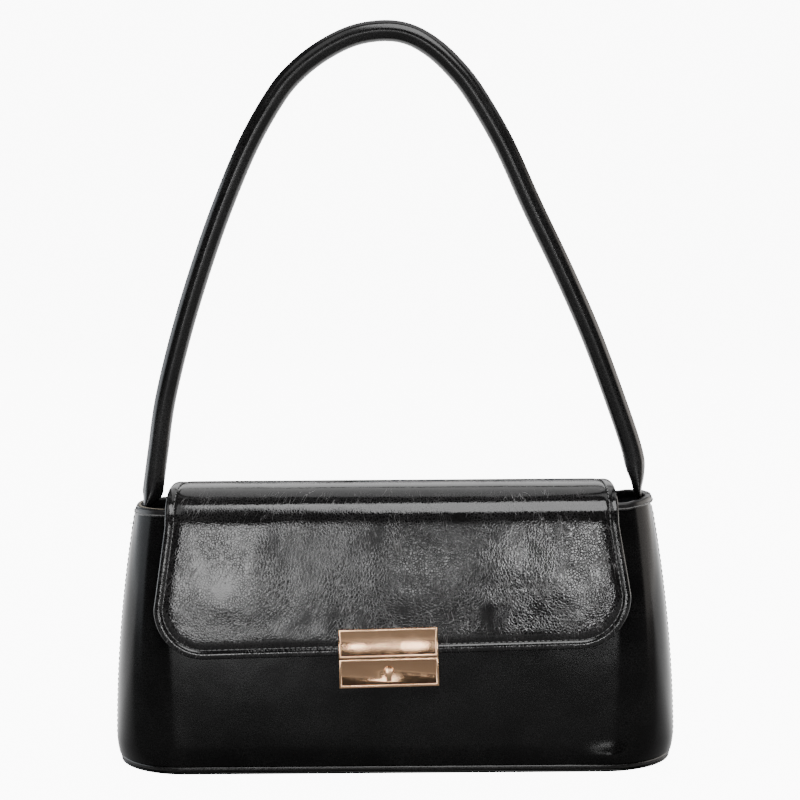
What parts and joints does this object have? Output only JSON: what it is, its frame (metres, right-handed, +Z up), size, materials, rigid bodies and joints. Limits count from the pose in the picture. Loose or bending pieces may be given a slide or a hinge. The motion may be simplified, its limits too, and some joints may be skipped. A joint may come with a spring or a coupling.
{
  "type": "baguette bag",
  "caption": "Small structured shoulder bag with a folding front flap, a two-plate press lock and one round handle.",
  "frame": {"origin": "centre of the bag's outline on the surface that it stands on, under the base", "axes": "+X to the right as seen from the front, +Y to the back, +Z up; the flap and lock face -Y"},
  "size_m": [0.2802, 0.0798, 0.3647],
  "materials": {
    "black_leather": "glossy waxed black leather with fine crinkles",
    "leather_trim": "glossy black leather strip",
    "stiff_board": "plain fibre board",
    "lining_cloth": "fine black woven lining",
    "handle_filling": "soft cotton cord",
    "gold_metal": "polished pale gold plating",
    "steel": "plain steel"
  },
  "bodies": {
    "root": {"front_panel": "black_leather", "back_panel": "black_leather", "side_strip_left": "leather_trim", "side_strip_right": "leather_trim", "rim_binding": "leather_trim", "front_board": "stiff_board", "back_board": "stiff_board", "wall_lining": "lining_cloth", "base_panel": "black_leather", "base_piping": "leather_trim", "base_board": "stiff_board", "base_lining": "lining_cloth", "flap_tail": "black_leather", "lock_housing": "gold_metal", "lock_back_cover": "gold_metal", "lock_screws": "steel", "lock_springs": "steel", "handle_tab_left": "black_leather", "handle_tab_right": "black_leather"},
    "flap_top": {"flap_top_leather": "black_leather", "flap_top_lining": "lining_cloth"},
    "flap_front": {"flap_front_leather": "black_leather", "flap_front_board": "stiff_board", "flap_front_lining": "lining_cloth", "lock_upper_plate": "gold_metal", "lock_flap_washer": "steel", "lock_rivets": "steel", "lock_striker": "steel"},
    "handle": {"handle_sleeve": "black_leather", "handle_core": "handle_filling"},
    "button": {"lock_button": "gold_metal"},
    "catch": {"lock_catch": "steel"}
  },
  "joints": [
    {"name": "flap_top", "type": "hinge", "parent": "root", "child": "flap_top", "pos_m": [0, 0.0283, 0.1205], "axis": [-1, 0, 0], "range_deg": [0, 30]},
    {"name": "flap_front", "type": "hinge", "parent": "flap_top", "child": "flap_front", "pos_m": [0, -0.0289, 0.1205], "axis": [-1, 0, 0], "range_deg": [0, 115]},
    {"name": "handle", "type": "hinge", "parent": "root", "child": "handle", "pos_m": [0, 0, 0.1345], "axis": [-1, 0, 0], "range_deg": [-10, 80]},
    {"name": "button_press", "type": "slide", "parent": "root", "child": "button", "axis": [0, 0.9914, -0.1312], "range_m": [0, 0.0015], "stiffness_N_per_m": 400, "springref_m": -0.001},
    {"name": "catch_slide", "type": "slide", "parent": "root", "child": "catch", "axis": [0.0209, -0.1311, -0.9911], "range_m": [0, 0.0015], "deforming": ["lock_springs"]}
  ],
  "couplings": [
    {"joint": "catch_slide", "follows": "button_press", "ratio": 1}
  ]
}
